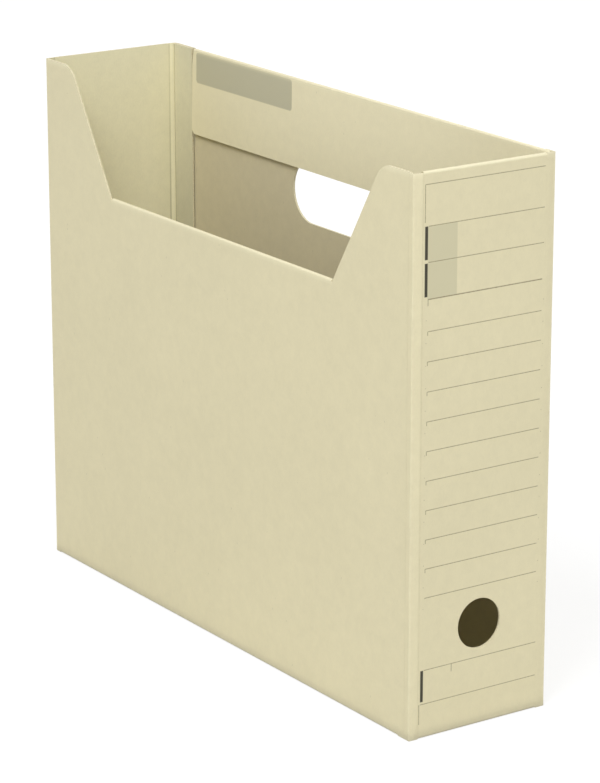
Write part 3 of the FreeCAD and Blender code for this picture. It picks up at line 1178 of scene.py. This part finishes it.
# %% Glued corner
glued_lean = 0.5 * mm
fold_degrees, spare_degrees = 76, 4
hidden_short = 0.5 * mm
onward, rear_out = Vector((0, 1, 0)), Vector((-1, 0, 0))
tilt = math.atan2(glued_lean, strip_wide)
along_strip = onward * math.cos(tilt) - rear_out * math.sin(tilt)
second = onward * (side_out - strip_wide) + rear_out * end_out
second_reach = soft_radius * math.tan(tilt / 2)
strip_run = (glued_hinge - second).dot(along_strip)
strip_start = side_out - strip_wide - second_reach
glued_corner = flat_sheet("glued_corner", rear, -strip_start, -end_half, end_out, 0, height)
choose("EDGE", lambda point: point.y > strip_start - fine)
curl(second - onward * second_reach - rear_out * soft_radius, tilt, -1, 3)
run_on(along_strip * (strip_run - second_reach))
curl(glued_hinge, math.radians(90) - tilt, -1, 8)
choose("EDGE", lambda point: abs(point.x - glued_hinge.x) < fine)
curl(glued_hinge, math.radians(fold_degrees + spare_degrees), -1, 8)
for top in (True, False):
    way = (0, 0, -hidden_short if top else hidden_short)
    shift(lambda point: point.x > glued_hinge.x + fine and (point.z > height / 2) == top, way)
thicken(glued_corner)
soften_edges(lambda point: fine < point.z < height - fine)
# painted highlight: the inside of the leaning strip is painted lighter
paint_faces(
    glued_corner, painted_light_strip_board, inner_board, lambda point: point.y > side_out - strip_wide - fine)
finish_piece(glued_corner, "rear_end")

# %% [markdown]
# ## The feet of the long walls
# Each long wall ends below in a fold that turns under the box and becomes a bottom flap. It is the
# lowest line of the box. The fold is a quarter round with a short level run, modelled as a piece
# of its own that rides on no body.

# %% Folds at the foot of the long walls
level_run = foot_reach - foot_radius + tail


def foot_fold(name, wall):
    """A tight quarter round from a wall to its bottom flap."""
    fold = flat_sheet(name, wall, foot_left, foot_right, side_out, foot_radius, foot_top)
    turn_under(wall, side_out)
    run_on(wall.out * -level_run)
    thicken(fold)
    finish_piece(fold, None)
    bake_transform(fold)


foot_fold("near_foot", near)
foot_fold("far_foot", far)

# %% [markdown]
# ## The bottom flaps
# Four flaps make the floor of the box: the two long ones meet in the middle, and the end flaps lie
# on them. Their slanted sides let them stand up beside each other while the box is pressed flat.
# Each one is a level plane whose sides are cut along lines between the corners of its CAD part.

# %% Bottom flaps
flap_rounding = 2 * mm


def side_corners(node, deep, across, side):
    """The corners down one side of a flap's CAD part, each as its depth and its place across."""
    middle = sum(corner[across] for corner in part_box(node)) / 2
    rows = {}
    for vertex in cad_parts[node].data.vertices:
        depth, place = vertex.co[deep], vertex.co[across]
        if (place - middle) * side > 0:
            key = round(depth / mm, 1)
            rows[key] = max(rows.get(key, (depth, place)), (depth, place), key=lambda row: row[1] * side)
    return [rows[key] for key in sorted(rows)]


def flap(name, node, deep, hinge_at, tip_at, body):
    """A bottom flap between its fold and its tip. Depth runs along axis deep."""
    across = 1 - deep
    low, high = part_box(node)
    middle = (low + high) / 2
    middle[deep] = (hinge_at + tip_at) / 2
    middle.z = low.z
    size = Vector((1, 1, 1))
    size[deep] = abs(tip_at - hinge_at)
    size[across] = high[across] - low[across]
    sheet = new_plane(name, middle, (math.pi, 0, 0), size)
    for side in (-1, 1):
        corners = side_corners(node, deep, across, side)
        for first, second in zip(corners, corners[1:]):
            edge, start = Vector((0, 0, 0)), Vector((0, 0, 0))
            edge[deep], edge[across] = second[0] - first[0], second[1] - first[1]
            start[deep], start[across] = first
            outwards = edge.cross(Vector((0, 0, 1)))
            if outwards[across] * side < 0:
                outwards.negate()
            cut_at(start, outwards, throw_away=True)
    choose("VERT", lambda point: abs(point[deep] - tip_at) < fine)
    bpy.ops.mesh.bevel(offset=flap_rounding, segments=5, affect="VERTICES")
    thicken(sheet, [bottom_board, inner_board, cut_edge])
    soften_edges(lambda point: abs(point[deep] - hinge_at) < fine)
    finish_piece(sheet, body, node, slot="board_bottom")


front_low, front_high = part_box("front_bottom_flap")
rear_low, rear_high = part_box("rear_bottom_flap")
far_flap_low, far_flap_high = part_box("far_bottom_flap")
flap("near_flap_board", "near_bottom_flap", 1, flap_low.y + tail, flap_high.y, "near_flap")
flap("far_flap_board", "far_bottom_flap", 1, far_flap_high.y - tail, far_flap_low.y, "far_flap")
flap("front_flap_board", "front_bottom_flap", 0, front_high.x, front_low.x, "front_flap")
flap("rear_flap_board", "rear_bottom_flap", 0, rear_low.x, rear_high.x, "rear_flap")
